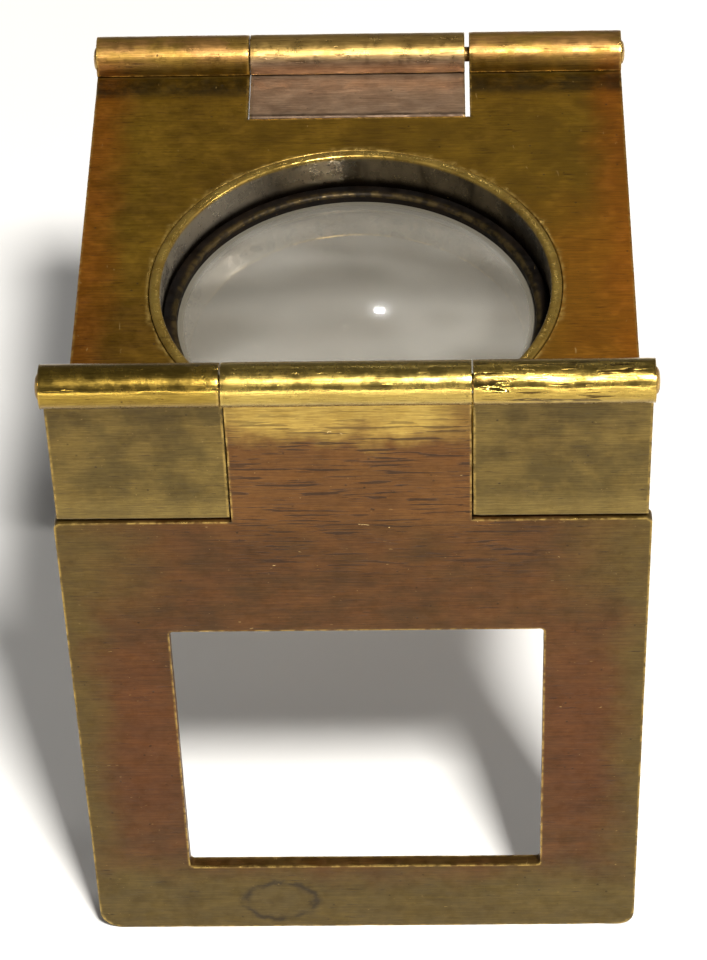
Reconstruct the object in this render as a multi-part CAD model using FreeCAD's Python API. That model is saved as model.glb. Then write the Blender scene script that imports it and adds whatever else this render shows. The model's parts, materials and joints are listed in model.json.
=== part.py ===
import FreeCAD, Part
import os

# Folding brass magnifier: two standing leaves hinged to a horizontal lens plate.
# Millimetres, +Z up.  The object stands on the lower edges of its two leaves (Z = 0).
# While it is drawn, Y = 0 is the front face of the front leaf; every piece is then
# moved so that the origin is under the middle of the whole object.

V = FreeCAD.Vector

# ---- driving dimensions ----
T = 1.0                    # sheet thickness
W_FRONT = 39.5             # front leaf width
W_PLATE = 38.9             # lens plate width
W_REAR = 38.9              # rear leaf width

R_OUT = 1.45               # front rolled knuckle, outside radius
R_OUT_REAR = 1.65          # rear rolled knuckle, outside radius
R_BORE = 0.62              # rolled knuckle, bore radius
R_PIN = 0.57               # hinge pin radius (0.05 running clearance)
PIN_HEAD_R = 0.90          # peened head
PIN_HEAD_H = 0.30
EAR_BEND = 0.35            # outside radius of the sharp bend under each ear
SEAM = 0.15                # slot left where a roll closes on its sheet
GAP_X = 0.07               # side gap between neighbouring knuckles

Z_PLATE = 43.45            # underside of the lens plate
Z_FRONT_AXIS = 56.2        # front hinge axis height
Z_SHOULDER = 43.25         # top of the full-width part of both leaves

# front leaf
TONGUE_L, TONGUE_R = -7.98, 7.9
WIN = 25.4                 # counting window, one inch square
WIN_Z0 = 7.1
FOOT_RL, FOOT_RR = 1.8, 1.3

# rear leaf
TAB_L, TAB_R = -8.02, 7.87
Y_REAR = 40.1              # front face of the rear leaf
TAB_BEND = 0.5             # outside radius where the tongue bends back as the tab
Y_REAR_AXIS = 46.4
NOTCH_L, NOTCH_R = -8.1, 8.2
NOTCH_Y0 = 40.0

# lens and cell
LENS_Y = 21.8
CELL_RO = 14.45
CELL_RI = 13.65
CELL_TOP = 44.6
CELL_BOT = 38.8
FLANGE_R = 15.2
SEAT_RI = 12.5
SEAT_TOP = 39.6
RING_RI = 12.6
RING_Z0, RING_Z1 = 41.1, 41.85
GLASS_R = 13.55
GLASS_CLEAR_R = 12.4      # curved faces end here, the rim beyond is a flat bevel
GLASS_SPHERE = 46.6

# ---- derived ----
Y_FRONT_AXIS = T - R_OUT               # roll is tangent to the back face
Z_REAR_AXIS = Z_PLATE + R_OUT_REAR          # roll is tangent to the underside
Z_TOP = Z_PLATE + T
Y_MIN = Y_FRONT_AXIS - R_OUT
Y_MAX = Y_REAR_AXIS + R_OUT_REAR
Y_MID = 0.5 * (Y_MIN + Y_MAX)


def box(x0, x1, y0, y1, z0, z1):
    return Part.makeBox(x1 - x0, y1 - y0, z1 - z0, V(x0, y0, z0))


def rod(x0, x1, y, z, r):
    return Part.makeCylinder(r, x1 - x0, V(x0, y, z), V(1, 0, 0))


def tube_z(ro, ri, z0, z1):
    a = Part.makeCylinder(ro, z1 - z0, V(0, LENS_Y, z0))
    return a.cut(Part.makeCylinder(ri, z1 - z0 + 2, V(0, LENS_Y, z0 - 1)))


def round_edges(shape, radius, test):
    picked = [e for e in shape.Edges if test(e)]
    if not picked:
        raise ValueError("no edge to round")
    return shape.makeFillet(radius, picked)


def along(e, axis):
    d = e.tangentAt(e.FirstParameter)
    return abs(getattr(d, axis)) > 0.999 and len(e.Vertexes) == 2


def near(a, b, tol=0.02):
    return abs(a - b) < tol


def front_roll(body, x0, x1):
    # knuckle at the top of a vertical sheet, curled forward and closed on the front face
    body = body.fuse(rod(x0, x1, Y_FRONT_AXIS, Z_FRONT_AXIS, R_OUT))
    body = body.cut(rod(x0 - 1, x1 + 1, Y_FRONT_AXIS, Z_FRONT_AXIS, R_BORE))
    return body.cut(box(x0 - 0.05, x1 + 0.05, -SEAM, 0.0,
                        Z_FRONT_AXIS - R_OUT - 0.3, Z_FRONT_AXIS - 0.35))


def rear_roll(body, x0, x1):
    # knuckle at the far end of a horizontal sheet, curled up and closed on the top face
    body = body.fuse(rod(x0, x1, Y_REAR_AXIS, Z_REAR_AXIS, R_OUT_REAR))
    body = body.cut(rod(x0 - 1, x1 + 1, Y_REAR_AXIS, Z_REAR_AXIS, R_BORE))
    return body.cut(box(x0 - 0.05, x1 + 0.05, Y_REAR_AXIS - R_OUT_REAR - 0.3, Y_REAR_AXIS - 0.35,
                        Z_TOP, Z_TOP + SEAM))


# ---- front leaf: window plate, centre tongue and centre knuckle ----
def make_front_leaf():
    h = W_FRONT / 2
    s = box(-h, h, 0, T, 0, Z_SHOULDER)
    s = round_edges(s, FOOT_RL, lambda e: along(e, "y") and near(e.CenterOfMass.x, -h)
                    and near(e.CenterOfMass.z, 0))
    s = round_edges(s, FOOT_RR, lambda e: along(e, "y") and near(e.CenterOfMass.x, h)
                    and near(e.CenterOfMass.z, 0))
    s = round_edges(s, 0.5, lambda e: along(e, "y") and near(abs(e.CenterOfMass.x), h)
                    and near(e.CenterOfMass.z, Z_SHOULDER))
    w = box(-WIN / 2, WIN / 2, -1, T + 1, WIN_Z0, WIN_Z0 + WIN)
    w = round_edges(w, 0.3, lambda e: along(e, "y"))
    s = s.cut(w)
    s = s.fuse(box(TONGUE_L, TONGUE_R, 0, T, Z_SHOULDER - 2, Z_FRONT_AXIS))
    s = front_roll(s, TONGUE_L, TONGUE_R)
    return s.removeSplitter()


# ---- lens plate: holed plate, two upturned ears and four outer knuckles ----
def make_lens_plate():
    h = W_PLATE / 2
    ear_in_l = TONGUE_L - GAP_X
    ear_in_r = TONGUE_R + GAP_X
    s = box(-h, h, T + 0.3, Y_REAR_AXIS, Z_PLATE, Z_TOP)
    for x0, x1 in ((-h, ear_in_l), (ear_in_r, h)):
        ell = box(x0, x1, 0, 4.0, Z_PLATE, Z_TOP).fuse(box(x0, x1, 0, T, Z_PLATE, Z_FRONT_AXIS))
        ell = ell.removeSplitter()
        ell = round_edges(ell, EAR_BEND, lambda e: along(e, "x") and near(e.CenterOfMass.y, 0)
                          and near(e.CenterOfMass.z, Z_PLATE))
        ell = round_edges(ell, 0.4, lambda e: along(e, "x") and near(e.CenterOfMass.y, T)
                          and near(e.CenterOfMass.z, Z_TOP))
        ell = front_roll(ell, x0, x1)
        s = s.fuse(ell)
    # centre notch for the rear leaf's tongue
    s = s.cut(box(NOTCH_L, NOTCH_R, NOTCH_Y0, Y_REAR_AXIS + 3, Z_PLATE - 1, Z_TOP + 1))
    for x0, x1 in ((-h, NOTCH_L), (NOTCH_R, h)):
        s = rear_roll(s, x0, x1)
    # round opening for the lens cell
    s = s.cut(Part.makeCylinder(CELL_RO + 0.02, 4, V(0, LENS_Y, Z_PLATE - 1)))
    return s.removeSplitter()


# ---- rear leaf: plain plate, tongue through the notch, bent-back tab, centre knuckle ----
def make_rear_leaf():
    h = W_REAR / 2
    s = box(-h, h, Y_REAR, Y_REAR + T, 0, Z_SHOULDER)
    s = round_edges(s, 1.5, lambda e: along(e, "y") and near(e.CenterOfMass.z, 0))
    s = round_edges(s, 0.6, lambda e: along(e, "y") and near(e.CenterOfMass.z, Z_SHOULDER))
    ell = box(TAB_L, TAB_R, Y_REAR, Y_REAR + T, Z_SHOULDER - 3, Z_TOP)
    ell = ell.fuse(box(TAB_L, TAB_R, Y_REAR, Y_REAR_AXIS, Z_PLATE, Z_TOP)).removeSplitter()
    ell = round_edges(ell, TAB_BEND, lambda e: along(e, "x") and near(e.CenterOfMass.y, Y_REAR)
                      and near(e.CenterOfMass.z, Z_TOP))
    ell = round_edges(ell, 0.4, lambda e: along(e, "x") and near(e.CenterOfMass.y, Y_REAR + T)
                      and near(e.CenterOfMass.z, Z_PLATE))
    ell = rear_roll(ell, TAB_L, TAB_R)
    return s.fuse(ell).removeSplitter()


# ---- hinge pins with peened, domed ends ----
def make_pin(y, z):
    h = W_PLATE / 2
    s = rod(-h, h, y, z, R_PIN)
    for x0, x1, xf in ((-h - PIN_HEAD_H, -h, -h - PIN_HEAD_H), (h, h + PIN_HEAD_H, h + PIN_HEAD_H)):
        head = rod(x0, x1, y, z, PIN_HEAD_R)
        head = round_edges(head, 0.25, lambda e: near(e.CenterOfMass.x, xf, 0.01))
        s = s.fuse(head)
    return s.removeSplitter()


# ---- lens cell: tube through the plate, shoulder below it, seat at the bottom ----
def make_cell():
    s = tube_z(CELL_RO, CELL_RI, SEAT_TOP, CELL_TOP)
    s = s.fuse(tube_z(CELL_RO, SEAT_RI, CELL_BOT, SEAT_TOP))
    s = s.fuse(tube_z(FLANGE_R, CELL_RO - 0.3, Z_PLATE - 1.0, Z_PLATE))
    s = s.removeSplitter()
    s = round_edges(s, 0.2, lambda e: near(e.CenterOfMass.z, CELL_TOP, 0.001))
    return s


def make_ring():
    s = tube_z(CELL_RI - 0.03, RING_RI, RING_Z0, RING_Z1)
    return s.makeChamfer(0.25, [e for e in s.Edges if near(e.CenterOfMass.z, RING_Z1, 0.001)
                                and e.BoundBox.XLength < 2 * RING_RI + 0.1
                                and e.BoundBox.XLength > 2])


def make_glass():
    sag = GLASS_SPHERE - (GLASS_SPHERE ** 2 - GLASS_CLEAR_R ** 2) ** 0.5
    top = RING_Z0 + sag
    bot = SEAT_TOP - sag
    caps = Part.makeCylinder(GLASS_CLEAR_R, 12, V(0, LENS_Y, 35))
    caps = caps.common(Part.makeSphere(GLASS_SPHERE, V(0, LENS_Y, top - GLASS_SPHERE)))
    caps = caps.common(Part.makeSphere(GLASS_SPHERE, V(0, LENS_Y, bot + GLASS_SPHERE)))
    rim = Part.makeCylinder(GLASS_R, RING_Z0 - SEAT_TOP, V(0, LENS_Y, SEAT_TOP))
    return caps.fuse(rim).removeSplitter()


pieces = {
    "front_leaf": make_front_leaf(),
    "lens_plate": make_lens_plate(),
    "rear_leaf": make_rear_leaf(),
    "front_hinge_pin": make_pin(Y_FRONT_AXIS, Z_FRONT_AXIS),
    "rear_hinge_pin": make_pin(Y_REAR_AXIS, Z_REAR_AXIS),
    "lens_cell": make_cell(),
    "retaining_ring": make_ring(),
    "lens": make_glass(),
}

os.makedirs("parts", exist_ok=True)
for name, shape in pieces.items():
    shape.translate(V(0, -Y_MID, 0))
    if not shape.isValid() or len(shape.Solids) != 1:
        raise ValueError(name + " is not one valid solid")
    shape = shape.Solids[0]
    shape.exportStep("parts/" + name + ".step")
    bb = shape.BoundBox
    print(name, round(shape.Volume, 2), [round(v, 3) for v in
          (bb.XMin, bb.XMax, bb.YMin, bb.YMax, bb.ZMin, bb.ZMax)])
print("front axis", 0, round(Y_FRONT_AXIS - Y_MID, 4), Z_FRONT_AXIS,
      "rear axis", round(Y_REAR_AXIS - Y_MID, 4), Z_REAR_AXIS)
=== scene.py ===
import bpy, bmesh, math, json
import numpy as np
from mathutils import Vector, Matrix, noise


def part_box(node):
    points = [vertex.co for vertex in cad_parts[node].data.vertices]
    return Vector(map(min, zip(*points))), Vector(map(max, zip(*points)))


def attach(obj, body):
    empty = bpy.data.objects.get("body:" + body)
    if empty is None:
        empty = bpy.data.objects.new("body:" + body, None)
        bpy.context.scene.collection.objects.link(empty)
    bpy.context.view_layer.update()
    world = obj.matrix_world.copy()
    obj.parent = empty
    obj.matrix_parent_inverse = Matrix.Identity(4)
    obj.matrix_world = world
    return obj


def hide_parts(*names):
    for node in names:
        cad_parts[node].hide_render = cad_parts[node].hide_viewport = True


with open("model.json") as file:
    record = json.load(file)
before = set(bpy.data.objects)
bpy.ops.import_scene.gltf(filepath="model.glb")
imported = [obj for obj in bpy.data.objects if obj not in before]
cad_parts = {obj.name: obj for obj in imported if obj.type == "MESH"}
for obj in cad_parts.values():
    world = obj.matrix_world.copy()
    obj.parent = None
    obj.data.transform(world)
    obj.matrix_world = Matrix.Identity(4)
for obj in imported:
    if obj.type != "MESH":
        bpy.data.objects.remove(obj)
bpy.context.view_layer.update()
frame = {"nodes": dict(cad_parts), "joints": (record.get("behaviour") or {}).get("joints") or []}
MM = 0.001

# ------------------------------------------------------------------ places, all read from the frame
lo_f, hi_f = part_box("front_leaf")
lo_p, hi_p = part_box("lens_plate")
lo_r, hi_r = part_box("rear_leaf")
lo_c, hi_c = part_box("lens_cell")
lo_g, hi_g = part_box("lens")
lo_n, hi_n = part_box("retaining_ring")
Y_FACE = lo_f.y / MM + 1.9          # front face of the front leaf
LENS_Y = (lo_g.y + hi_g.y) / 2 / MM
Z_TOPP = lo_p.z / MM + 1.0          # top of the lens plate
JOINT = {j["name"]: j for j in frame["joints"]}
FRONT_AX = Vector(JOINT["front_fold"]["pos_m"]) / MM
REAR_AX = Vector(JOINT["rear_fold"]["pos_m"]) / MM


def srgb(r, g, b, k=1.0):
    f = lambda u: (u / 12.92 if u <= 0.04045 else ((u + 0.055) / 1.055) ** 2.4)
    return tuple(min(1.0, f(v / 255.0) * k) for v in (r, g, b)) + (1.0,)


# ------------------------------------------------------------------ small node-graph writer
class G:
    def __init__(self, name):
        self.m = bpy.data.materials.new(name)
        self.m.use_nodes = True
        self.t = self.m.node_tree
        self.t.nodes.clear()
        self.out = self.t.nodes.new("ShaderNodeOutputMaterial")
        self.bsdf = self.t.nodes.new("ShaderNodeBsdfPrincipled")
        self.t.links.new(self.bsdf.outputs[0], self.out.inputs[0])
        tc = self.t.nodes.new("ShaderNodeTexCoord")
        self.p = self.vm("SCALE", tc.outputs["Object"], scale=1000.0)
        s = self.t.nodes.new("ShaderNodeSeparateXYZ")
        self.t.links.new(self.p, s.inputs[0])
        self.x, self.y, self.z = s.outputs

    def put(self, sock, v):
        if v is None:
            return
        if isinstance(v, bpy.types.NodeSocket):
            self.t.links.new(v, sock)
        elif isinstance(v, (int, float)) and sock.type == "RGBA":
            sock.default_value = (v, v, v, 1)
        else:
            sock.default_value = v

    def vm(self, op, a, b=None, scale=None):
        n = self.t.nodes.new("ShaderNodeVectorMath"); n.operation = op
        self.put(n.inputs[0], a)
        if b is not None:
            self.put(n.inputs[1], b)
        if scale is not None:
            n.inputs[3].default_value = scale
        return n.outputs[0]

    def f(self, op, a, b=None, c=None, clamp=False):
        n = self.t.nodes.new("ShaderNodeMath"); n.operation = op; n.use_clamp = clamp
        self.put(n.inputs[0], a)
        if b is not None:
            self.put(n.inputs[1], b)
        if c is not None:
            self.put(n.inputs[2], c)
        return n.outputs[0]

    def rng(self, v, a, b, c=0.0, d=1.0, smooth=True):
        n = self.t.nodes.new("ShaderNodeMapRange")
        n.interpolation_type = "SMOOTHSTEP" if smooth else "LINEAR"
        n.clamp = True
        self.put(n.inputs[0], v)
        for i, q in enumerate((a, b, c, d)):
            self.put(n.inputs[i + 1], q)
        return n.outputs[0]

    def noise(self, sx, sy=None, sz=None, detail=4.0, rough=0.55, off=0.0, dist=0.0):
        sy = sx if sy is None else sy
        sz = sx if sz is None else sz
        q = self.vm("MULTIPLY", self.p, (sx, sy, sz))
        q = self.vm("ADD", q, (off, off * 0.7 + 3.1, off * 1.3 - 2.2))
        n = self.t.nodes.new("ShaderNodeTexNoise")
        self.put(n.inputs["Vector"], q)
        n.inputs["Scale"].default_value = 1.0
        n.inputs["Detail"].default_value = detail
        n.inputs["Roughness"].default_value = rough
        n.inputs["Distortion"].default_value = dist
        return n.outputs["Fac"]

    def voro(self, s, off=0.0, rand=1.0):
        q = self.vm("ADD", self.p, (off, off * 0.6, off * 1.7))
        n = self.t.nodes.new("ShaderNodeTexVoronoi")
        self.put(n.inputs["Vector"], q)
        n.inputs["Scale"].default_value = s
        n.inputs["Randomness"].default_value = rand
        return n.outputs["Distance"]

    def attr(self, name):
        n = self.t.nodes.new("ShaderNodeAttribute"); n.attribute_name = name
        return n.outputs["Fac"]

    def mix(self, fac, a, b, blend="MIX"):
        n = self.t.nodes.new("ShaderNodeMix"); n.data_type = "RGBA"; n.blend_type = blend
        n.clamp_factor = True
        self.put(n.inputs[0], fac)
        self.put(n.inputs[6], a)
        self.put(n.inputs[7], b)
        return n.outputs[2]

    def bump(self, height, strength, dist, normal=None):
        n = self.t.nodes.new("ShaderNodeBump")
        n.inputs["Strength"].default_value = strength
        n.inputs["Distance"].default_value = dist
        self.put(n.inputs["Height"], height)
        if normal is not None:
            self.put(n.inputs["Normal"], normal)
        return n.outputs[0]

    def inside(self, v, a, b, soft):
        """1 where a < v < b, with soft edges."""
        return self.f("MULTIPLY", self.rng(v, a - soft, a + soft), self.rng(v, b - soft, b + soft, 1.0, 0.0))


def brass(name, colour, metallic=0.76, rough=0.42, rough_var=0.16, speck=1.0, scratch=1.0, grain=1.0,
          edge=srgb(206, 172, 92), edge_amt=0.5, seed=0.0, tarnish=0.5, gloss=None, scuff=None):
    g = G(name)
    col = colour(g) if callable(colour) else colour
    # cloudy tarnish at two scales
    big = g.noise(0.16, detail=5, rough=0.6, off=seed, dist=0.6)
    col = g.mix(g.rng(big, 0.42, 0.72, 0.0, 0.45 * tarnish), col, g.mix(1.0, col, srgb(150, 128, 92), "MULTIPLY"))
    mid = g.noise(0.9, detail=6, rough=0.65, off=seed + 9)
    col = g.mix(g.rng(mid, 0.30, 0.75, 0.0, 0.26 * tarnish), col, g.mix(1.0, col, srgb(226, 205, 150), "MULTIPLY"))
    # drawn grain of the rolled sheet, running along X
    gr = g.noise(0.35, 14.0, 14.0, detail=3, rough=0.7, off=seed + 3)
    gr2 = g.noise(1.4, 30.0, 30.0, detail=2, rough=0.6, off=seed + 5)
    grn = g.f("ADD", g.f("MULTIPLY", gr, 0.6), g.f("MULTIPLY", gr2, 0.4))
    col = g.mix(g.rng(grn, 0.42, 0.60, 0.0, 0.42 * grain), g.mix(1.0, col, srgb(178, 170, 160), "MULTIPLY"), g.mix(0.5, col, g.mix(1.0, col, srgb(255, 246, 225), "MULTIPLY")))
    # scattered thin scratches, dark and bright
    sc = g.noise(0.5, 6.5, 6.5, detail=2, rough=0.5, off=seed + 31, dist=0.25)
    dark_s = g.rng(sc, 0.665, 0.70, 0.0, 0.62 * scratch)
    sc2 = g.noise(2.6, 0.7, 7.0, detail=2, rough=0.5, off=seed + 47, dist=0.5)
    lite_s = g.rng(sc2, 0.735, 0.765, 0.0, 0.40 * scratch)
    col = g.mix(dark_s, col, g.mix(1.0, col, srgb(120, 96, 70), "MULTIPLY"))
    col = g.mix(lite_s, col, srgb(190, 158, 98))
    if scuff is not None:
        zone = scuff(g)
        q = g.noise(0.30, 4.6, 4.6, detail=2, rough=0.5, off=seed + 61, dist=0.35)
        gouge = g.f("MULTIPLY", g.rng(q, 0.575, 0.612), zone)
        col = g.mix(g.f("MULTIPLY", gouge, 0.82), col, srgb(50, 32, 16))
        q2 = g.noise(0.7, 1.6, 2.4, detail=3, rough=0.6, off=seed + 163, dist=1.0)
        glint = g.f("MULTIPLY", g.rng(q2, 0.735, 0.755), zone)
        col = g.mix(glint, col, srgb(236, 206, 140))
        dark_s = g.f("MAXIMUM", dark_s, gouge)
    # specks of dark oxide
    vo = g.voro(1.15, off=seed)
    sp_gate = g.noise(0.5, detail=2, off=seed + 70)
    sp = g.f("MULTIPLY", g.rng(vo, 0.05, 0.14, 1.0, 0.0), g.rng(sp_gate, 0.50, 0.60))
    vo2 = g.voro(3.3, off=seed + 5)
    sp2 = g.f("MULTIPLY", g.rng(vo2, 0.06, 0.2, 1.0, 0.0), g.rng(g.noise(0.33, detail=3, off=seed + 90), 0.50, 0.66))
    spk = g.f("MULTIPLY", g.f("MAXIMUM", sp, g.f("MULTIPLY", sp2, 0.65)), 0.7 * speck)
    col = g.mix(spk, col, srgb(46, 34, 20))
    # metal rubbed bright along the worn edges
    e = g.attr("wear")
    en = g.noise(1.8, detail=4, off=seed + 11)
    ew = g.f("MULTIPLY", g.rng(e, 0.35, 0.95), g.rng(en, 0.38, 0.62, 0.15, 1.0))
    col = g.mix(g.f("MULTIPLY", ew, edge_amt), col, edge)
    # a little dirt held in corners
    # darker along the inside corners
    d = g.attr("inner_corner_dark")
    col = g.mix(g.f("MULTIPLY", d, 0.85), col, srgb(36, 26, 14))
    g.put(g.bsdf.inputs["Base Color"], col)
    if gloss is None:
        g.bsdf.inputs["Metallic"].default_value = metallic
    else:
        g.put(g.bsdf.inputs["Metallic"], g.rng(gloss(g), 0.0, 1.0, metallic, 0.96, smooth=False))
    r = g.f("ADD", g.rng(mid, 0.3, 0.7, rough - rough_var, rough + rough_var), g.f("MULTIPLY", grn, 0.10))
    r = g.f("SUBTRACT", r, g.f("MULTIPLY", ew, 0.12))
    r = g.f("ADD", r, g.f("MULTIPLY", spk, 0.25), clamp=True)
    if gloss is not None:
        r = g.f("MULTIPLY", r, g.rng(gloss(g), 0.0, 1.0, 1.0, 0.52, smooth=False))
    g.put(g.bsdf.inputs["Roughness"], r)
    h = g.f("ADD", g.f("MULTIPLY", grn, 0.35), g.f("MULTIPLY", mid, 0.5))
    h = g.f("SUBTRACT", h, g.f("MULTIPLY", dark_s, 0.6))
    h = g.f("SUBTRACT", h, g.f("MULTIPLY", spk, 0.7))
    nrm = g.bump(h, 0.35, 0.00006)
    nrm = g.bump(g.noise(0.28, detail=2, off=seed + 23), 0.30, 0.00030, nrm)
    g.put(g.bsdf.inputs["Normal"], nrm)
    return g.m


# ------------------------------------------------------------------ region colours
def leaf_colour(g):
    n1 = g.noise(0.22, detail=4, off=1.0)
    wob = g.f("MULTIPLY", g.f("SUBTRACT", n1, 0.5), 9.0)
    ax = g.f("ABSOLUTE", g.x)
    copper = g.mix(g.rng(g.noise(0.35, 0.35, 0.6, detail=5, off=4), 0.24, 0.76), srgb(92, 64, 25), srgb(116, 76, 32))
    olive = g.mix(g.noise(0.5, detail=4, off=8), srgb(90, 76, 34), srgb(126, 106, 48))
    # olive borders on the sides, foot and upper corners
    side = g.rng(g.f("ADD", ax, g.f("MULTIPLY", wob, 0.55)), 16.2, 19.6)
    foot = g.rng(g.f("ADD", g.z, g.f("MULTIPLY", wob, 0.9)), 4.0, 9.5, 1.0, 0.0)
    cor = g.f("MULTIPLY", g.rng(ax, 11.0, 19.0), g.inside(g.z, 35.0, 44.5, 3.0))
    m = g.f("MAXIMUM", g.f("MULTIPLY", side, 0.85), g.f("MAXIMUM", foot, g.f("MULTIPLY", cor, 0.8)))
    col = g.mix(m, copper, olive)
    # orange tint in the side columns
    o = g.f("MULTIPLY", g.inside(ax, 12.5, 17.5, 2.0), g.inside(g.f("ADD", g.z, wob), 12.0, 30.0, 5.0))
    col = g.mix(g.f("MULTIPLY", o, 0.42), col, srgb(120, 66, 22))
    # the tongue is rubbed paler than the window plate
    tg = g.f("MULTIPLY", g.rng(g.z, 40.5, 44.5), g.rng(ax, 10.5, 8.5))
    col = g.mix(g.f("MULTIPLY", tg, 0.6), col, srgb(142, 98, 46))
    # gold patch rubbed bare under the knuckle
    zz = g.f("ADD", g.z, g.f("MULTIPLY", g.f("SUBTRACT", g.noise(0.42, detail=3, off=14), 0.5), 5.0))
    gold = g.f("MULTIPLY", g.rng(zz, 49.4, 53.2), g.rng(g.f("ABSOLUTE", g.f("ADD", g.x, 0.8)), 5.6, 8.6, 1.0, 0.25))
    col = g.mix(g.f("MULTIPLY", gold, 0.95), col, srgb(232, 202, 106))
    up = g.rng(g.z, 54.2, 55.2)
    col = g.mix(up, col, srgb(216, 192, 106))
    # back of the leaf is plainer and darker
    back = g.rng(g.y, Y_FACE + 0.5, Y_FACE + 0.95)
    col = g.mix(g.f("MULTIPLY", back, 0.6), col, srgb(122, 98, 54))
    # plain round water stain near the foot
    ex = g.f("DIVIDE", g.f("ADD", g.x, 6.3), 2.85)
    ez = g.f("DIVIDE", g.f("SUBTRACT", g.z, 3.1), 2.3)
    rr = g.f("SQRT", g.f("ADD", g.f("MULTIPLY", ex, ex), g.f("MULTIPLY", ez, ez)))
    rr = g.f("ADD", rr, g.f("MULTIPLY", g.f("SUBTRACT", g.noise(1.1, detail=3, off=40), 0.5), 0.5))
    stain = g.f("MULTIPLY", g.inside(rr, 0.78, 1.0, 0.12), g.rng(g.noise(0.9, detail=3, off=52), 0.34, 0.56, 0.3, 0.95))
    col = g.mix(stain, col, srgb(62, 50, 26))
    pool = g.f("MULTIPLY", g.rng(rr, 0.5, 1.0, 1.0, 0.0), 0.40)
    return g.mix(pool, col, srgb(100, 86, 50))


def plate_colour(g):
    n1 = g.noise(0.2, detail=4, off=2.0)
    wob = g.f("MULTIPLY", g.f("SUBTRACT", n1, 0.5), 8.0)
    base = g.mix(g.rng(g.noise(0.3, detail=5, off=6), 0.24, 0.76), srgb(132, 102, 22), srgb(160, 126, 32))
    # orange along both sides and right of the cell
    side = g.rng(g.f("ADD", g.f("ABSOLUTE", g.x), g.f("MULTIPLY", wob, 0.5)), 15.8, 19.0)
    col = g.mix(g.f("MULTIPLY", side, 0.62), base, srgb(192, 112, 24))
    right = g.f("MULTIPLY", g.rng(g.x, 9.0, 17.0), g.inside(g.f("ADD", g.y, wob), -20.0, 6.0, 5.0))
    col = g.mix(g.f("MULTIPLY", right, 0.55), col, srgb(206, 130, 30))
    left = g.f("MULTIPLY", g.rng(g.x, -9.0, -17.0), g.inside(g.y, -21.0, -2.0, 4.0))
    col = g.mix(g.f("MULTIPLY", left, 0.4), col, srgb(112, 68, 8))
    # dark band on the plate just in front of the rear knuckles: painted shade under the knuckles
    strip = g.f("MULTIPLY", g.inside(g.y, REAR_AX.y - 3.7, REAR_AX.y - 1.5, 0.6), g.rng(g.noise(0.6, 0.6, 0.2, detail=4, off=71), 0.30, 0.60, 0.45, 0.85))
    col = g.mix(strip, col, srgb(50, 42, 16))
    # ears: olive gold, knuckles rubbed to gold
    ear = g.rng(g.z, Z_TOPP + 0.1, Z_TOPP + 1.2)
    earc = g.mix(g.rng(g.noise(0.4, detail=5, off=12), 0.35, 0.65), srgb(106, 90, 42), srgb(136, 116, 58))
    earc = g.mix(g.rng(g.z, 44.4, 46.2, 0.5, 0.0), earc, srgb(160, 140, 78))
    ear = g.f("MAXIMUM", g.rng(g.y, -21.7, -22.0), g.f("MULTIPLY", ear, g.rng(g.y, -18.0, -20.0)))
    col = g.mix(ear, col, earc)
    kn = g.f("MULTIPLY", g.rng(g.z, 54.2, 55.2), g.rng(g.y, -18.0, -20.0))
    col = g.mix(kn, col, g.mix(g.rng(g.x, -6.0, -9.5), srgb(212, 186, 98), srgb(178, 152, 70)))
    far = g.rng(g.y, REAR_AX.y - 1.7, REAR_AX.y - 1.1)
    fcol = g.mix(g.rng(g.noise(0.35, 0.8, 0.8, detail=4, off=21), 0.4, 0.6), srgb(182, 148, 70), srgb(196, 152, 88))
    return g.mix(far, col, fcol)


def rear_colour(g):
    base = g.mix(g.rng(g.noise(0.22, detail=5, off=3), 0.38, 0.62), srgb(112, 86, 48), srgb(128, 92, 58))
    tab = g.rng(g.z, 42.6, 43.9)
    pink = g.mix(g.rng(g.noise(0.5, 0.9, 0.9, detail=4, off=33), 0.36, 0.64), srgb(178, 150, 126), srgb(202, 174, 148))
    col = g.mix(tab, base, pink)
    # dark band along the tab's bend: painted shade
    painted_shade_bend = g.f("MULTIPLY", g.rng(g.y, REAR_AX.y - 5.75, REAR_AX.y - 6.0), tab)
    col = g.mix(g.f("MULTIPLY", painted_shade_bend, 0.9), col, srgb(62, 46, 30))
    kn = g.rng(g.z, REAR_AX.z + 0.4, REAR_AX.z + 1.3)
    return g.mix(g.f("MULTIPLY", kn, 0.85), col, srgb(196, 164, 84))


def cell_colour(g):
    rim = g.rng(g.z, hi_c.z / MM - 0.40, hi_c.z / MM - 0.12)
    dy = g.f("SUBTRACT", g.y, LENS_Y)
    r2 = g.f("SQRT", g.f("ADD", g.f("MULTIPLY", g.x, g.x), g.f("MULTIPLY", dy, dy)))
    inner = g.rng(r2, 14.0, 13.8)
    streak = g.noise(0.35, 0.35, 0.12, detail=4, off=5)
    # grey streaks on the bore wall: painted reflection
    wall = g.mix(g.rng(streak, 0.40, 0.60), srgb(66, 58, 40), srgb(132, 122, 100))
    # paler left side of the bore wall: painted light
    wall = g.mix(g.rng(g.x, -4.0, -12.0), wall, srgb(200, 196, 186))
    # darker at the foot of the wall beside the retaining ring: painted shade
    wall = g.mix(g.rng(g.z, hi_n.z / MM + 0.9, hi_n.z / MM + 0.15), wall, srgb(30, 22, 12))
    body = g.mix(inner, srgb(130, 104, 52), wall)
    gold = g.mix(g.rng(g.noise(0.4, detail=4, off=17), 0.35, 0.65), srgb(176, 146, 64), srgb(208, 180, 90))
    return g.mix(rim, body, gold)


def ring_painted_shade_colour(g):
    # near-black all over: painted shade of the ring's recess below the cell wall
    return g.mix(g.rng(g.noise(0.5, detail=4, off=2), 0.35, 0.65), srgb(22, 15, 7), srgb(42, 30, 14))


def front_roll_mask(g):
    return g.rng(g.z, 54.3, 55.0)


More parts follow.
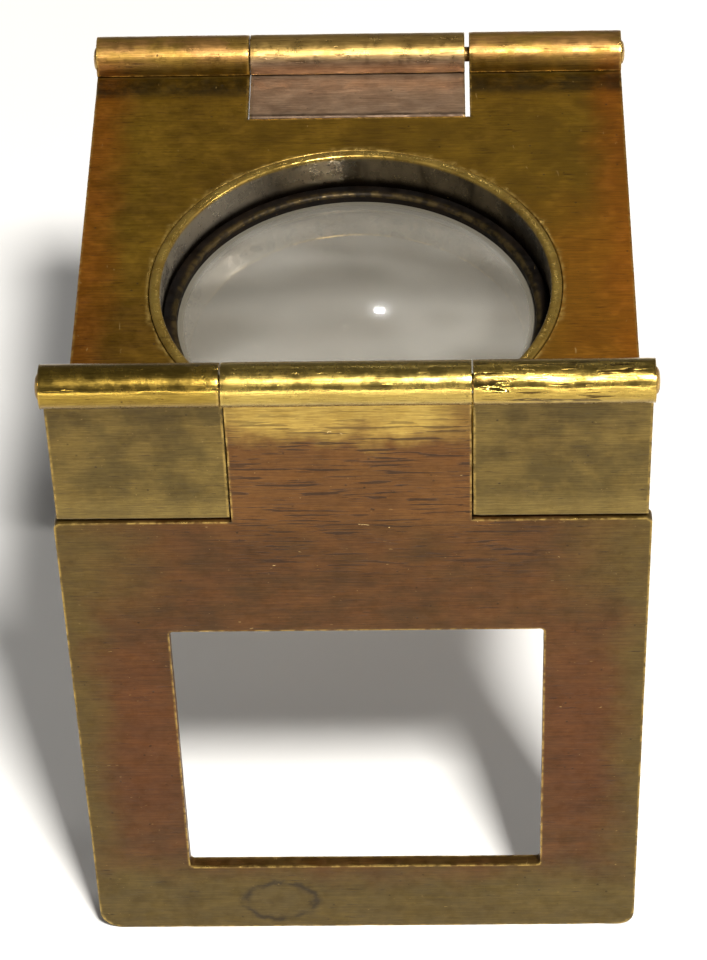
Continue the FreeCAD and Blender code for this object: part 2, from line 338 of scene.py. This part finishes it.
def both_rolls_mask(g):
    return g.f("MAXIMUM", g.rng(g.z, 54.3, 55.0), g.f("MULTIPLY", g.rng(g.y, REAR_AX.y - 1.7, REAR_AX.y - 1.3), 0.2))


M_LEAF = brass("aged_copper_brown_brass", leaf_colour, seed=0.0, rough=0.43, gloss=front_roll_mask,
               scuff=lambda g: g.f("MULTIPLY", g.inside(g.z, 38.0, 52.5, 2.5), g.inside(g.x, -8.5, 13.0, 2.5)))
M_PLATE = brass("aged_olive_brass", plate_colour, seed=20.0, rough=0.41, gloss=both_rolls_mask,
                scuff=lambda g: g.f("MULTIPLY", g.rng(g.z, 54.6, 55.2), g.inside(g.x, 7.8, 18.5, 1.0)))
M_REAR = brass("dull_tarnished_brass", rear_colour, seed=40.0, rough=0.40, edge_amt=0.2, gloss=lambda g: g.f("MULTIPLY", g.rng(g.z, REAR_AX.z - 0.4, REAR_AX.z + 0.2), 0.4))
M_PIN = brass("worn_pin_brass", lambda g: g.mix(g.noise(1.2, off=7), srgb(160, 126, 66), srgb(196, 160, 96)), seed=60.0, rough=0.34, grain=0.4)
M_CELL = brass("turned_cell_brass", cell_colour, seed=80.0, rough=0.28, edge_amt=0.15, grain=0.25, speck=0.5)
M_RING = brass("dark_ring_brass", ring_painted_shade_colour, seed=100.0, rough=0.58, edge_amt=0.10, grain=0.2)


def glass(name):
    g = G(name)
    sm = g.noise(0.07, 0.12, 0.12, detail=2, off=3, dist=0.2)
    fine = g.noise(0.5, 5.0, 5.0, detail=3, off=9, dist=0.5)
    rim = g.attr("wear")
    # polished glass under a thin, uneven bloom of old dust; the pale bloom is also a painted reflection of the studio
    g.bsdf.inputs["Transmission Weight"].default_value = 0.66
    g.bsdf.inputs["Coat Weight"].default_value = 1.0
    g.bsdf.inputs["Coat Roughness"].default_value = 0.03
    g.bsdf.inputs["IOR"].default_value = 1.5
    dust_and_painted_reflection = g.mix(g.rng(sm, 0.36, 0.66), srgb(166, 161, 148), srgb(200, 196, 184))
    # darker soft band across the lens: painted reflection and shadow
    painted_dark_band = g.inside(g.f("ADD", g.y, g.f("MULTIPLY", g.f("SUBTRACT", sm, 0.5), 8.0)), LENS_Y + 1.5, LENS_Y + 5.0, 1.6)
    dust_and_painted_reflection = g.mix(g.f("MULTIPLY", painted_dark_band, 0.5), dust_and_painted_reflection, srgb(118, 113, 100))
    dust_and_painted_reflection = g.mix(g.rng(fine, 0.62, 0.78, 0.0, 0.12), dust_and_painted_reflection, srgb(230, 228, 220))
    dust_and_painted_reflection = g.mix(g.f("MULTIPLY", rim, 0.8), dust_and_painted_reflection, srgb(140, 132, 112))
    g.put(g.bsdf.inputs["Base Color"], dust_and_painted_reflection)
    r = g.f("ADD", g.rng(sm, 0.35, 0.75, 0.05, 0.16), g.rng(fine, 0.60, 0.75, 0.0, 0.05))
    g.put(g.bsdf.inputs["Roughness"], g.f("ADD", r, g.f("MULTIPLY", rim, 0.5), clamp=True))
    g.put(g.bsdf.inputs["Normal"], g.bump(g.noise(0.35, detail=2, off=2), 0.05, 0.00010))
    return g.m


M_GLASS = glass("old_optical_glass")


# ------------------------------------------------------------------ mesh work
def seg_dist(P, A, B):
    """distance of every point to its nearest segment"""
    out = np.full(len(P), 1e9)
    for a, b in zip(A, B):
        d = b - a
        L = max(float(d @ d), 1e-18)
        t = np.clip(((P - a) @ d) / L, 0, 1)
        q = a + t[:, None] * d
        out = np.minimum(out, ((P - q) ** 2).sum(1))
    return np.sqrt(out)


def set_attr(me, name, values):
    a = me.attributes.new(name, "FLOAT", "POINT")
    a.data.foreach_set("value", np.asarray(values, np.float32))


def fbm(p, s, off, octaves=3):
    return noise.fractal(Vector((p.x * s + off, p.y * s - off * 0.6, p.z * s + off * 1.9)), 0.9, 2.1, octaves)


def finish_mesh(me, angle=32):
    for p in me.polygons:
        p.use_smooth = True
    me.set_sharp_from_angle(angle=math.radians(angle))


def sheet_part(node, name, body, mat, cuts, bevel=0.06, wave=0.035, seed=0.0, dents=(), dirt_segs=(), nicks=1.0):
    """A worn sheet-metal piece: crisp design edges rounded over, faces cut fine, then slightly beaten."""
    bm = bmesh.new()
    bm.from_mesh(frame["nodes"][node].data)
    bmesh.ops.scale(bm, vec=(1000, 1000, 1000), verts=bm.verts)
    bmesh.ops.remove_doubles(bm, verts=bm.verts, dist=2e-3)
    bmesh.ops.dissolve_limit(bm, angle_limit=math.radians(0.4), verts=bm.verts, edges=bm.edges)
    sharp = [e for e in bm.edges if len(e.link_faces) == 2 and e.calc_face_angle(0) > math.radians(35)]
    convex = [e for e in sharp if e.is_convex]
    A = np.array([e.verts[0].co[:] for e in convex]); B = np.array([e.verts[1].co[:] for e in convex])
    cc = [e for e in sharp if not e.is_convex]
    CA = np.array([e.verts[0].co[:] for e in cc]); CB = np.array([e.verts[1].co[:] for e in cc])
    bmesh.ops.bevel(bm, geom=convex, offset=bevel, offset_type="OFFSET", segments=3, profile=0.6, affect="EDGES", clamp_overlap=True)
    for axis, values in enumerate(cuts):
        no = Vector((0, 0, 0)); no[axis] = 1.0
        for v in values:
            co = Vector((0, 0, 0)); co[axis] = v
            bmesh.ops.bisect_plane(bm, geom=bm.verts[:] + bm.edges[:] + bm.faces[:], dist=1e-4, plane_co=co, plane_no=no)
    bmesh.ops.triangulate(bm, faces=[f for f in bm.faces if len(f.verts) > 6])
    bm.normal_update()
    P = np.array([v.co[:] for v in bm.verts])
    d = seg_dist(P, A, B)
    dc = seg_dist(P, CA, CB) if len(CA) else np.full(len(P), 1e9)
    wear = np.exp(-(d / 0.22) ** 2)
    # colour darkening along the inside corners, used by the materials
    inner_corner_dark = np.exp(-(dc / 0.18) ** 2) * 0.9
    for v, w in zip(bm.verts, wear):
        p = v.co
        a = wave * (0.5 + 0.5 * fbm(p, 0.11, seed)) + 0.007 * (0.5 + 0.5 * fbm(p, 0.9, seed + 5))
        if w > 0.25:
            k = fbm(p, 0.75, seed + 12)
            a += nicks * w * (0.02 + 0.09 * max(0.0, k - 0.30))
        for (dx, dy, dz, rad, depth) in dents:
            q = ((p.x - dx) ** 2 + (p.y - dy) ** 2 + (p.z - dz) ** 2) / rad ** 2
            if q < 6:
                a += depth * math.exp(-q)
        v.co = p - v.normal * a
    bmesh.ops.scale(bm, vec=(MM, MM, MM), verts=bm.verts)
    me = bpy.data.meshes.new(name)
    bm.to_mesh(me); bm.free()
    set_attr(me, "wear", wear); set_attr(me, "inner_corner_dark", inner_corner_dark)
    finish_mesh(me)
    ob = bpy.data.objects.new(name, me)
    bpy.context.scene.collection.objects.link(ob)
    me.materials.append(mat)
    wn = ob.modifiers.new("even_normals", "WEIGHTED_NORMAL"); wn.keep_sharp = True
    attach(ob, body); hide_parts(node)
    print(name, len(me.vertices), "vertices")
    return ob


def lathe(name, profile, centre, axis, body, node, mat, segs=160, wobble=0.012, seed=0.0, closed=True, wear=None):
    """profile is a list of (radius, height) in mm; turned about Z or X through centre."""
    verts, faces, w = [], [], []
    n = len(profile)
    for i in range(segs):
        t = 2 * math.pi * i / segs
        for k, (r, h) in enumerate(profile):
            if r > 1e-6:
                nz = noise.noise(Vector((math.cos(t) * 2.0 + seed, math.sin(t) * 2.0, h * 0.5 + k * 0.03)))
                r = r - wobble * (0.5 + 0.5 * nz)
            if axis == "z":
                verts.append((centre[0] + r * math.cos(t), centre[1] + r * math.sin(t), centre[2] + h))
            else:
                verts.append((centre[0] + h, centre[1] + r * math.cos(t), centre[2] + r * math.sin(t)))
            w.append(wear[k] if wear else 0.0)
    m = n if closed else n - 1
    for i in range(segs):
        j = (i + 1) % segs
        for k in range(m):
            l = (k + 1) % n
            faces.append((i * n + k, j * n + k, j * n + l, i * n + l))
    bm = bmesh.new()
    wl = bm.verts.layers.float.new("wear"); dl = bm.verts.layers.float.new("inner_corner_dark")
    bv = [bm.verts.new(Vector(v) * MM) for v in verts]
    for v, q in zip(bv, w):
        v[wl] = q; v[dl] = 0.0
    for f in faces:
        bm.faces.new([bv[q] for q in f])
    bmesh.ops.remove_doubles(bm, verts=bm.verts, dist=1e-7)
    bmesh.ops.dissolve_degenerate(bm, edges=bm.edges, dist=1e-8)
    bmesh.ops.recalc_face_normals(bm, faces=bm.faces)
    me = bpy.data.meshes.new(name)
    bm.to_mesh(me); bm.free()
    finish_mesh(me, 40)
    ob = bpy.data.objects.new(name, me)
    bpy.context.scene.collection.objects.link(ob)
    me.materials.append(mat)
    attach(ob, body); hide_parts(node)
    return ob


def arc(cx, cy, r, a0, a1, n):
    return [(cx + r * math.cos(math.radians(a0 + (a1 - a0) * i / n)), cy + r * math.sin(math.radians(a0 + (a1 - a0) * i / n))) for i in range(n + 1)]


def span(a, b, step):
    n = max(1, int(round((b - a) / step)))
    return [a + (b - a) * i / n for i in range(1, n)]


def rims(*vals):
    out = []
    for v in vals:
        out += [v - 0.45, v - 0.2, v + 0.2, v + 0.45]
    return out


XF = hi_f.x / MM
XP = hi_p.x / MM
leaf = sheet_part(
    "front_leaf", "window_leaf", "front_leaf_body", M_LEAF,
    (span(-XF, XF, 0.9) + rims(-XF, XF, -12.7, 12.7, -7.98, 7.9), [Y_FACE + 0.3, Y_FACE + 0.7],
     span(0, hi_f.z / MM, 0.9) + rims(0, 7.1, 32.5, 43.25)),
    seed=3.0, dents=((-12.3, Y_FACE, 15.0, 0.28, 0.10), (14.6, Y_FACE, 15.2, 0.35, 0.05), (2.2, Y_FACE, 45.2, 0.4, 0.04),
                     (4.6, Y_FACE, 45.1, 0.3, 0.05), (-6.0, Y_FACE - 1.2, 55.35, 0.5, 0.05)))
plate = sheet_part(
    "lens_plate", "lens_plate_shell", "plate_body", M_PLATE,
    (span(-XP, XP, 0.9) + rims(-XP, XP, -8.05, 7.97), span(lo_p.y / MM, hi_p.y / MM, 0.9) + rims(17.0),
     span(Z_TOPP, hi_p.z / MM, 0.9) + [Z_TOPP - 0.3, Z_TOPP - 0.7]),
    seed=17.0, dents=((9.6, Y_FACE - 1.5, 56.95, 0.45, 0.10), (11.3, Y_FACE - 1.75, 56.15, 0.5, 0.12), (13.6, Y_FACE - 1.2, 57.35, 0.6, 0.10),
                      (15.2, Y_FACE - 0.9, 57.55, 0.5, 0.07), (-18.6, Y_FACE - 1.2, 55.15, 0.5, 0.10), (12.4, Y_FACE - 1.8, 55.65, 0.35, 0.08),
                      (17.2, Y_FACE - 1.6, 56.75, 0.4, 0.06), (-12.0, Y_FACE - 1.6, 56.85, 0.5, 0.04)))
rear = sheet_part(
    "rear_leaf", "rear_leg", "rear_leaf_body", M_REAR,
    (span(-XP, XP, 1.1) + rims(-XP, XP, -7.95, 7.87), span(lo_r.y / MM + 1.2, hi_r.y / MM, 0.9) + [lo_r.y / MM + 0.3, lo_r.y / MM + 0.7],
     span(0, hi_r.z / MM, 1.1) + rims(0, 43.25)),
    seed=29.0, dents=((-15, hi_r.y / MM - 7.0, 12, 0.8, 0.05),))

# pins: straight rod with hammered, domed heads
for nm, ax, sd in (("front_hinge_pin", FRONT_AX, 1.0), ("rear_hinge_pin", REAR_AX, 5.0)):
    xe = hi_p.x / MM
    prof = [(0.0, -xe - 0.29), (0.35, -xe - 0.28), (0.62, -xe - 0.24), (0.80, -xe - 0.16), (0.88, -xe - 0.07), (0.87, -xe - 0.005), (0.56, -xe), (0.56, -xe + 0.2)]
    full = prof + [(0.56, x) for x in span(-xe + 0.2, xe - 0.2, 1.5)] + [(r, -h) for r, h in reversed(prof)]
    wr = [1, 1, 1, 1, 0.8, 0.2, 0, 0] + [0.0] * (len(full) - 16) + [0, 0, 0.2, 0.8, 1, 1, 1, 1]
    lathe(nm + "_rod", full, (0, ax.y, ax.z), "x", "plate_body", nm, M_PIN, segs=40, wobble=0.012, seed=sd, closed=False, wear=wr)

# lens cell: turned tube with a rounded rim, a shoulder under the plate and a seat
zt = hi_c.z / MM; zb = lo_c.z / MM
RO, RI, RF, RS = 14.43, 13.66, 15.18, 12.52
cp = [(RI, zb + 0.9)] + [(RI, z) for z in span(zb + 0.9, zt - 0.3, 0.35)]
cp += arc(RI + 0.22, zt - 0.22, 0.22, 180, 90, 5) + arc(RO - 0.26, zt - 0.26, 0.26, 90, 0, 6)
cp += [(RO, Z_TOPP - 0.05), (RO, Z_TOPP - 1.0), (RF - 0.1, Z_TOPP - 1.005), (RF, Z_TOPP - 1.1), (RF, Z_TOPP - 1.9), (RF - 0.1, Z_TOPP - 1.99), (RO + 0.05, Z_TOPP - 2.0),
       (RO, Z_TOPP - 2.05), (RO, zb + 1.6), (RO - 0.12, zb + 1.5), (RO - 0.12, zb + 1.3), (RO, zb + 1.2)]
cp += arc(RO - 0.3, zb + 0.3, 0.3, 0, -90, 5) + arc(RS + 0.15, zb + 0.15, 0.15, -90, -180, 3) + [(RS, zb + 0.7), (RS + 0.06, zb + 0.795), (RI - 0.1, zb + 0.8)]
cw = []
for r, z in cp:
    cw.append(1.0 if z > zt - 0.16 else (0.6 if r > RF - 0.15 else 0.0))
cell = lathe("lens_cell_tube", cp, (0, LENS_Y, 0), "z", "plate_body", "lens_cell", M_CELL, segs=192, wobble=0.02, seed=3.0, wear=cw)

# retaining ring: bevelled inside lip, two key slots left out, slightly uneven
rz0, rz1 = lo_n.z / MM, hi_n.z / MM
rp = [(12.62, rz0 + 0.02), (12.62, rz1 - 0.30)] + arc(12.62 + 0.28, rz1 - 0.28, 0.28, 180, 90, 5) + [(13.2, rz1 - 0.005)] + arc(13.6 - 0.12, rz1 - 0.12, 0.12, 90, 0, 4) + [(13.6, rz0 + 0.02)]
ring = lathe("retaining_ring_band", rp, (0, LENS_Y, 0), "z", "plate_body", "retaining_ring", M_RING, segs=192, wobble=0.015, seed=9.0,
             wear=[0, 0] + [0.7] * 6 + [0.3] + [0.2] * 5 + [0])

# biconvex lens with a ground rim
gz0, gz1 = lo_g.z / MM, hi_g.z / MM
gm = (gz0 + gz1) / 2
half = (gz1 - gz0) / 2
RSPH = 46.6
edge_h = half - (RSPH - math.sqrt(RSPH ** 2 - 12.4 ** 2))
top = [(r, gm + half - (RSPH - math.sqrt(max(0.0, RSPH ** 2 - r * r)))) for r in [12.4 * i / 40 for i in range(41)]]
gp = top + [(12.9, gm + edge_h), (13.40, gm + edge_h), (13.52, gm + edge_h - 0.12), (13.52, gm - edge_h + 0.12), (13.40, gm - edge_h), (12.9, gm - edge_h)]
gp += [(r, 2 * gm - z) for r, z in reversed(top)]
gw = [0.0] * 40 + [0.5] + [1.0] * 6 + [0.5] + [0.0] * 40
gwm = [0.0 if r < 12.38 else 1.0 for r, z in gp]
lens = lathe("biconvex_lens", gp, (0, LENS_Y, 0), "z", "plate_body", "lens", M_GLASS, segs=160, wobble=0.0, closed=False, wear=gwm)

# ------------------------------------------------------------------ stage
bm = bmesh.new()
bmesh.ops.create_grid(bm, x_segments=24, y_segments=24, size=2.5)
me = bpy.data.meshes.new("floor"); bm.to_mesh(me); bm.free()
floor = bpy.data.objects.new("floor", me)
floor.location = (0, 0, 0)
bpy.context.scene.collection.objects.link(floor)
gf = G("pale_floor")
fn = gf.noise(0.02, detail=3, off=1)
gf.put(gf.bsdf.inputs["Base Color"], gf.mix(fn, srgb(214, 212, 208), srgb(221, 220, 217)))
gf.bsdf.inputs["Roughness"].default_value = 0.6
gf.bsdf.inputs["Specular IOR Level"].default_value = 0.25
me.materials.append(gf.m)


def area(name, loc, target, sx, sy, power, colour=(1, 1, 1)):
    l = bpy.data.lights.new(name, "AREA"); l.shape = "RECTANGLE"; l.size = sx; l.size_y = sy; l.energy = power; l.color = colour
    o = bpy.data.objects.new(name, l)
    o.location = loc
    d = Vector(target) - Vector(loc)
    o.rotation_euler = d.to_track_quat("-Z", "Y").to_euler()
    bpy.context.scene.collection.objects.link(o)
    return o


T0 = (0, 0, 0.03)
area("key", (0.135, -0.345, 0.63), T0, 0.09, 0.09, 9.5, (1.0, 0.985, 0.96))
area("side", (0.62, -0.10, 0.42), T0, 0.12, 0.12, 2.0, (1.0, 0.985, 0.96))
area("front_strip", (-0.02, -0.75, 0.075), (0, 0, 0.055), 0.85, 0.07, 2.85, (1.0, 0.99, 0.97))
area("fill_left", (-0.5, -0.35, 0.45), T0, 0.5, 0.5, 0.3, (0.96, 0.98, 1.0))
area("pin_light", (0.02, 0.42, 0.46), T0, 0.012, 0.012, 0.035)

w = bpy.data.worlds.new("studio"); bpy.context.scene.world = w
w.use_nodes = True
nt = w.node_tree; nt.nodes.clear()
wo = nt.nodes.new("ShaderNodeOutputWorld"); bg = nt.nodes.new("ShaderNodeBackground")
tc = nt.nodes.new("ShaderNodeTexCoord"); sp = nt.nodes.new("ShaderNodeSeparateXYZ"); cr = nt.nodes.new("ShaderNodeValToRGB")
nt.links.new(tc.outputs["Generated"], sp.inputs[0]); nt.links.new(sp.outputs[2], cr.inputs[0])
cr.color_ramp.elements[0].position = 0.0; cr.color_ramp.elements[0].color = (0.62, 0.62, 0.61, 1)
cr.color_ramp.elements[1].position = 0.55; cr.color_ramp.elements[1].color = (0.26, 0.26, 0.265, 1)
nt.links.new(cr.outputs[0], bg.inputs[0]); bg.inputs[1].default_value = 0.27
nt.links.new(bg.outputs[0], wo.inputs[0])

# ------------------------------------------------------------------ camera
cam = bpy.data.cameras.new("camera")
cam.sensor_fit = "HORIZONTAL"; cam.sensor_width = 36.0
cam.lens = 3609.5 * 36.0 / 707.0
cam.shift_x = -0.0020; cam.shift_y = -0.0027
cam.clip_start = 0.01; cam.clip_end = 20.0
co = bpy.data.objects.new("camera", cam)
right = Vector((0.999619, 0.010969, -0.025342)); down = Vector((-0.01004, -0.710545, -0.70358)); fwd = Vector((-0.025724, 0.703566, -0.710164))
rot = Matrix((right, -down, -fwd)).transposed()
co.matrix_world = Matrix.Translation(Vector((0.006308, -0.164905 + Y_FACE * MM, 0.213716))) @ rot.to_4x4()
bpy.context.scene.collection.objects.link(co)
bpy.context.scene.camera = co
vs = bpy.context.scene.view_settings
vs.view_transform = "Standard"; vs.look = "None"; vs.exposure = 0.0; vs.gamma = 1.0
